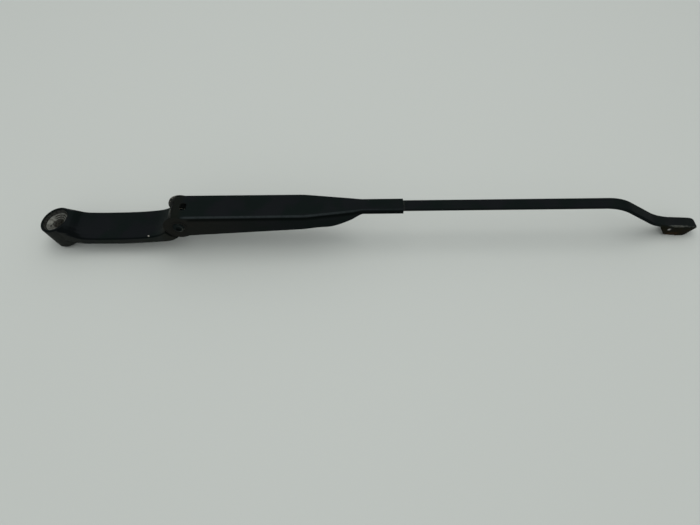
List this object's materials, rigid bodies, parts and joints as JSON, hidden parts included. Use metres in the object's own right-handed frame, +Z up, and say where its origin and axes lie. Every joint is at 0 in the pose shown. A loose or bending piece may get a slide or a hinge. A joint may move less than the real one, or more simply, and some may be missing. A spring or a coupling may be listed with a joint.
{
  "type": "wiper arm",
  "caption": "Spring-loaded windscreen wiper arm: cast head with tapered spindle seat, pressed hinged retainer, flat rod and folded tip channel with a cross pin for the blade.",
  "frame": {"origin": "on the spindle axis, in the middle of the round land under the nut recess", "axes": "+X along the arm from the spindle to the tip, +Y across it, +Z up from the surface it lies on"},
  "size_m": [0.5649, 0.0308, 0.0401],
  "materials": {
    "head_paint": "worn satin black paint on an aluminium casting",
    "arm_paint": "worn satin black paint on steel",
    "plain_steel": "bare steel, dulled",
    "link_steel": "phosphated steel",
    "spring_steel": "oiled spring wire",
    "bush_plastic": "natural nylon"
  },
  "bodies": {
    "head": {"head": "head_paint", "hook_pin": "plain_steel", "pivot_bush_near": "bush_plastic", "pivot_bush_far": "bush_plastic"},
    "arm": {"retainer": "arm_paint", "rod": "arm_paint", "blade_pin": "plain_steel", "pivot_pin": "arm_paint", "pivot_washer": "plain_steel"},
    "link": {"spring_link": "link_steel", "tension_spring": "spring_steel"}
  },
  "joints": [
    {"name": "arm_lift", "type": "hinge", "parent": "head", "child": "arm", "pos_m": [0.1063, 0, 0.01334], "axis": [0, -1, 0], "range_deg": [0, 60], "stiffness_Nm_per_rad": 1, "springref_deg": -85.94},
    {"name": "link_swing", "type": "hinge", "parent": "head", "child": "link", "pos_m": [0.1008, 0, 0.00474], "axis": [0, -1, 0], "range_deg": [0, 60], "deforming": ["tension_spring"]}
  ],
  "couplings": [
    {"joint": "link_swing", "follows": "arm_lift", "ratio": 0.92}
  ]
}
